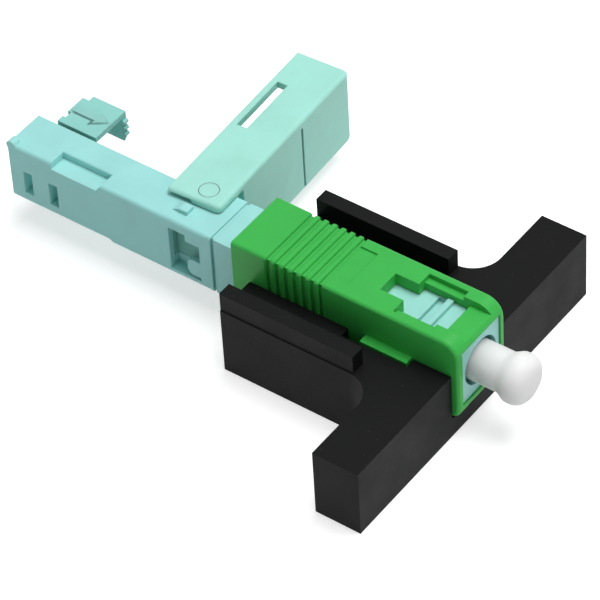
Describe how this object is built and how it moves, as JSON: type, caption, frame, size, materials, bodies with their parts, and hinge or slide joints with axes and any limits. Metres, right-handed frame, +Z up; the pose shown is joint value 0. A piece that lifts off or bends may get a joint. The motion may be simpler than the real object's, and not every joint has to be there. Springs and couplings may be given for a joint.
{
  "type": "sc fibre connector",
  "caption": "Field-fitted square fibre connector with sliding grip, dust cap, swinging tail cover and cable clamp lid, seated on its T-shaped opener.",
  "frame": {"origin": "on the opener's underside, straight below the ferrule axis, 12 mm behind the front of the outer housing", "axes": "+X towards the ferrule tip, +Y to the far side from the key, +Z up"},
  "size_m": [0.0574, 0.0401, 0.0113],
  "materials": {
    "black_plastic": "satin",
    "aqua_body": "satin",
    "aqua_frame": "satin",
    "aqua_cover": "satin",
    "aqua_clamp": "satin",
    "green_housing": "satin",
    "white_cap": "translucent",
    "zirconia": "polished",
    "collar_metal": "turned",
    "spring_steel": "drawn wire",
    "clip_metal": "satin",
    "fibre_glass": "clear",
    "clear_plastic": "clear"
  },
  "bodies": {
    "opener_block": {"opener": "black_plastic"},
    "connector": {"main_body": "aqua_body", "plug_frame": "aqua_frame", "splice_holder": "aqua_frame", "fibre_guide": "clear_plastic", "splice_base": "clear_plastic", "splice_lid_front": "clear_plastic", "splice_lid_rear": "clear_plastic", "splice_clip": "clip_metal", "ferrule_spring": "spring_steel"},
    "grip": {"outer_housing": "green_housing"},
    "ferrule_group": {"ferrule": "zirconia", "ferrule_collar": "collar_metal", "fibre_stub": "fibre_glass"},
    "cap": {"dust_cap": "white_cap"},
    "cover": {"tail_cover": "aqua_cover"},
    "clamp": {"cable_clamp_lid": "aqua_clamp"}
  },
  "joints": [
    {"name": "opener_lift", "type": "slide", "parent": "opener_block", "child": "connector", "axis": [0, 0, 1], "range_m": [0, 0.012]},
    {"name": "grip_slide", "type": "slide", "parent": "connector", "child": "grip", "axis": [-1, 0, 0], "range_m": [0, 0.0016]},
    {"name": "ferrule_float", "type": "slide", "parent": "connector", "child": "ferrule_group", "axis": [-1, 0, 0], "range_m": [0, 0.0015], "stiffness_N_per_m": 2000, "springref_m": -0.004, "deforming": ["ferrule_spring"]},
    {"name": "cap_pull", "type": "slide", "parent": "ferrule_group", "child": "cap", "axis": [1, 0, 0], "range_m": [0, 0.012]},
    {"name": "cover_swing", "type": "hinge", "parent": "connector", "child": "cover", "pos_m": [-0.0194, 0.0015, 0.0063], "axis": [0, 0, 1], "range_deg": [0, 87]},
    {"name": "clamp_fold", "type": "hinge", "parent": "connector", "child": "clamp", "pos_m": [-0.0356, 0.00215, 0.0087], "axis": [-1, 0, 0], "range_deg": [0, 90]}
  ],
  "couplings": [
    {"joint": "clamp_fold", "follows": "cover_swing", "ratio": 1.0345}
  ]
}
